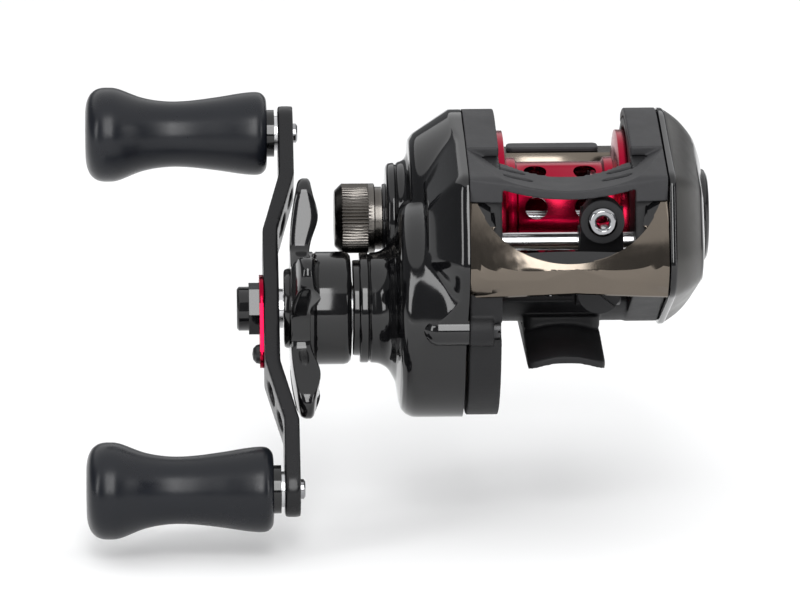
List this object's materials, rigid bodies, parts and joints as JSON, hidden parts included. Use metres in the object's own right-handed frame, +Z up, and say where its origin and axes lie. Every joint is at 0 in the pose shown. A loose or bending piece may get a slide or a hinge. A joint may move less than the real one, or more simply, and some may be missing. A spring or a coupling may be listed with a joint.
{
  "type": "baitcasting reel",
  "caption": "Low-profile baitcasting reel with a double handle, star drag, level wind, ported spool, thumb bar clutch and reel foot.",
  "frame": {"origin": "crown of the arched underside of the reel foot, half way along the foot", "axes": "+Z up out of the foot to the spool; -Y towards the rod tip, where the line leaves; -X towards the handle; the spool axis is parallel to X"},
  "size_m": [0.1203, 0.0794, 0.0748],
  "materials": {
    "matte_black": "fine matte",
    "gloss_black": "high gloss",
    "satin_black": "satin",
    "soft_grey": "soft touch matte",
    "satin_grey": "satin metallic",
    "smoked_chrome": "smoked mirror",
    "bright_chrome": "mirror",
    "steel": "polished",
    "blackened_steel": "blackened",
    "gunmetal": "knurled satin",
    "aluminium": "satin",
    "red_anodised": "anodised",
    "brass": "machined",
    "nylon": "moulded",
    "carbon": "woven",
    "black_rubber": "matte",
    "knob_charcoal": "satin"
  },
  "bodies": {
    "root": {"frame": "matte_black", "nose_cover": "smoked_chrome", "thumb_rest": "soft_grey", "gear_side_plate": "gloss_black", "palm_side_plate": "satin_grey", "brake_plate": "matte_black", "side_plate_screws": "blackened_steel", "left_spool_bearing": "steel", "right_spool_bearing": "steel", "pinion_bearing": "steel", "drive_shaft_bearing": "steel", "one_way_bearing": "steel", "guide_bar": "steel", "worm_bushes": "nylon", "yoke_posts": "steel", "yoke_springs": "steel", "cast_control_shim": "brass", "cast_control_o_ring": "black_rubber"},
    "crank": {"drive_shaft": "steel", "drive_gear": "brass", "ratchet_wheel": "steel", "level_wind_cog": "nylon", "drag_washers": "carbon", "pressure_washer": "steel", "one_way_sleeve": "steel", "spring_washers": "steel", "handle_spacer": "steel", "handle_arm": "satin_black", "handle_nut": "gloss_black", "nut_keeper": "red_anodised", "keeper_screw": "blackened_steel", "knob_posts": "steel", "knob_post_screws": "bright_chrome"},
    "star": {"star_drag": "gloss_black", "star_nut": "brass"},
    "upper_knob": {"upper_knob": "knob_charcoal", "upper_knob_bush": "gloss_black"},
    "lower_knob": {"lower_knob": "knob_charcoal", "lower_knob_bush": "gloss_black"},
    "spool": {"spool": "red_anodised", "spool_shaft": "steel", "shaft_cross_pin": "steel", "brake_rotor": "aluminium"},
    "yoke": {"pinion_yoke": "nylon"},
    "pinion": {"pinion": "brass"},
    "clutch_cam": {"clutch_cam": "nylon"},
    "thumb_bar": {"thumb_bar": "smoked_chrome", "thumb_bar_pad": "soft_grey"},
    "worm": {"worm_shaft": "steel", "worm_cog": "nylon"},
    "line_guide": {"line_guide_carriage": "matte_black", "line_guide_ring": "bright_chrome", "pawl": "steel", "pawl_cap": "matte_black", "guide_clip": "bright_chrome"},
    "cast_control": {"cast_control_knob": "gunmetal"},
    "brake_dial": {"brake_dial": "gloss_black"},
    "magnet_holder": {"magnet_holder": "nylon", "brake_magnets": "bright_chrome"}
  },
  "joints": [
    {"name": "handle_turn", "type": "hinge", "parent": "root", "child": "crank", "pos_m": [-0.04, -0.0118, 0.00681], "axis": [1, 0, 0], "continuous": true},
    {"name": "star_drag_turn", "type": "hinge", "parent": "crank", "child": "star", "pos_m": [-0.045, -0.0118, 0.00681], "axis": [1, 0, 0], "range_deg": [-180, 180]},
    {"name": "upper_knob_spin", "type": "hinge", "parent": "crank", "child": "upper_knob", "pos_m": [-0.074, 0.01658, 0.03499], "axis": [1, 0, 0], "continuous": true},
    {"name": "lower_knob_spin", "type": "hinge", "parent": "crank", "child": "lower_knob", "pos_m": [-0.074, -0.04018, -0.02138], "axis": [1, 0, 0], "continuous": true},
    {"name": "spool_spin", "type": "hinge", "parent": "root", "child": "spool", "pos_m": [0, 0, 0.0217], "axis": [1, 0, 0], "continuous": true},
    {"name": "thumb_bar_press", "type": "slide", "parent": "root", "child": "thumb_bar", "axis": [0, 0, -1], "range_m": [0, 0.005]},
    {"name": "yoke_shift", "type": "slide", "parent": "root", "child": "yoke", "axis": [-1, 0, 0], "range_m": [0, 0.0011], "deforming": ["yoke_springs"]},
    {"name": "pinion_spin", "type": "hinge", "parent": "yoke", "child": "pinion", "pos_m": [-0.024, 0, 0.0217], "axis": [1, 0, 0], "continuous": true},
    {"name": "clutch_cam_turn", "type": "hinge", "parent": "root", "child": "clutch_cam", "pos_m": [-0.0193, 0, 0.0217], "axis": [-1, 0, 0], "range_deg": [0, 15.9]},
    {"name": "worm_spin", "type": "hinge", "parent": "root", "child": "worm", "pos_m": [0, -0.01989, 0.01302], "axis": [1, 0, 0], "continuous": true},
    {"name": "line_guide_slide", "type": "slide", "parent": "root", "child": "line_guide", "axis": [1, 0, 0], "range_m": [-0.0143, 0.0017]},
    {"name": "cast_control_turn", "type": "hinge", "parent": "root", "child": "cast_control", "pos_m": [-0.038, 0, 0.0217], "axis": [1, 0, 0], "range_deg": [-180, 180]},
    {"name": "brake_dial_turn", "type": "hinge", "parent": "root", "child": "brake_dial", "pos_m": [0.026, 0, 0.0217], "axis": [1, 0, 0], "range_deg": [0, 300]},
    {"name": "magnet_shift", "type": "slide", "parent": "root", "child": "magnet_holder", "axis": [-1, 0, 0], "range_m": [0, 0.003]}
  ],
  "couplings": [
    {"joint": "spool_spin", "follows": "handle_turn", "ratio": -6.6},
    {"joint": "pinion_spin", "follows": "handle_turn", "ratio": -6.6},
    {"joint": "worm_spin", "follows": "handle_turn", "ratio": -1.4286},
    {"joint": "yoke_shift", "follows": "thumb_bar_press", "ratio": 0.22},
    {"joint": "clutch_cam_turn", "follows": "thumb_bar_press", "rad_per_m": 55.502},
    {"joint": "brake_dial_turn", "follows": "magnet_shift", "rad_per_m": 1745.3}
  ]
}
